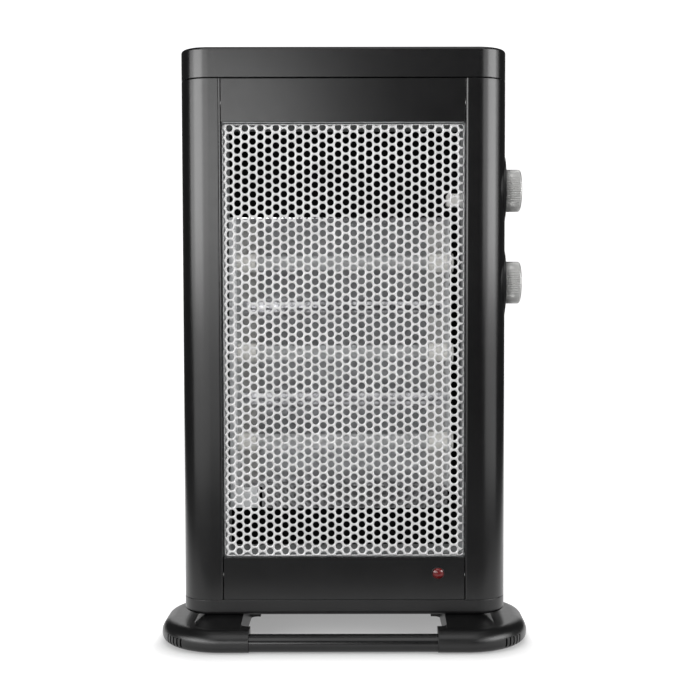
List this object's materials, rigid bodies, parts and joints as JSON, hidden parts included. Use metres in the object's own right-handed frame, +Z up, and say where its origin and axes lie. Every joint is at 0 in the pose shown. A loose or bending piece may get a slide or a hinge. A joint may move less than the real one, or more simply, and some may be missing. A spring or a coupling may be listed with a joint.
{
  "type": "infrared heater",
  "caption": "Free-standing quartz infrared heater with a perforated front grille, side control knobs and a low ring base.",
  "frame": {"origin": "on the floor, under the middle of the base", "axes": "+Z up, -Y the side with the grille, +X the side with the knobs"},
  "size_m": [0.297, 0.1284, 0.4765],
  "materials": {
    "black_painted_steel": "satin",
    "black_moulded_plastic": "fine grain",
    "black_gloss_plastic": "smooth",
    "perforated_steel": "bright",
    "galvanised_steel": "dull",
    "heatproof_black_steel": "matte",
    "bright_aluminium": "polished",
    "frosted_quartz": "frosted",
    "resistance_wire": "oxidised",
    "white_ceramic": "matte",
    "silver_plastic": "satin silver",
    "plated_steel": "plated",
    "black_screw_steel": "black oxide",
    "switch_plastic": "plain",
    "red_lens": "clear red",
    "black_rubber": "matte"
  },
  "bodies": {
    "heater_body": {"top_cap": "black_gloss_plastic", "bottom_cap": "black_moulded_plastic", "left_side_panel": "black_painted_steel", "right_side_panel": "black_painted_steel", "upper_fascia": "black_painted_steel", "lower_fascia": "black_painted_steel", "front_grille": "perforated_steel", "rear_panel": "black_painted_steel", "rear_panel_screws": "black_screw_steel", "cord_inlet": "black_moulded_plastic", "right_chamber_wall": "galvanised_steel", "left_chamber_wall": "galvanised_steel", "chamber_floor": "galvanised_steel", "chamber_ceiling": "galvanised_steel", "chamber_back_plate": "heatproof_black_steel", "reflector": "bright_aluminium", "left_tube_bracket": "galvanised_steel", "right_tube_bracket": "galvanised_steel", "left_link_strip": "plated_steel", "thermostat_disc": "black_moulded_plastic", "thermostat_body": "switch_plastic", "selector_disc": "black_moulded_plastic", "selector_switch_body": "switch_plastic", "indicator_bezel": "black_moulded_plastic", "indicator_lens": "red_lens", "indicator_lamp": "white_ceramic", "thermal_cutout": "white_ceramic", "terminal_block": "white_ceramic", "tilt_switch": "switch_plastic", "right_foot": "black_moulded_plastic", "left_foot": "black_moulded_plastic", "front_bar": "black_painted_steel", "rear_bar": "black_painted_steel", "rubber_pads": "black_rubber", "foot_screws": "plated_steel", "lower_quartz_tube": "frosted_quartz", "lower_heating_coil": "resistance_wire", "lower_tube_left_cap": "white_ceramic", "lower_tube_right_cap": "white_ceramic", "middle_quartz_tube": "frosted_quartz", "middle_heating_coil": "resistance_wire", "middle_tube_left_cap": "white_ceramic", "middle_tube_right_cap": "white_ceramic", "upper_quartz_tube": "frosted_quartz", "upper_heating_coil": "resistance_wire", "upper_tube_left_cap": "white_ceramic", "upper_tube_right_cap": "white_ceramic"},
    "thermostat_dial": {"thermostat_shaft": "plated_steel", "thermostat_knob": "silver_plastic"},
    "selector_dial": {"selector_shaft": "plated_steel", "selector_knob": "silver_plastic"}
  },
  "joints": [
    {"name": "thermostat_turn", "type": "hinge", "parent": "heater_body", "child": "thermostat_dial", "pos_m": [0.1312, 0.01725, 0.3666], "axis": [-1, 0, 0], "range_deg": [0, 270]},
    {"name": "selector_turn", "type": "hinge", "parent": "heater_body", "child": "selector_dial", "pos_m": [0.1312, 0.01725, 0.2904], "axis": [-1, 0, 0], "range_deg": [0, 270]}
  ]
}
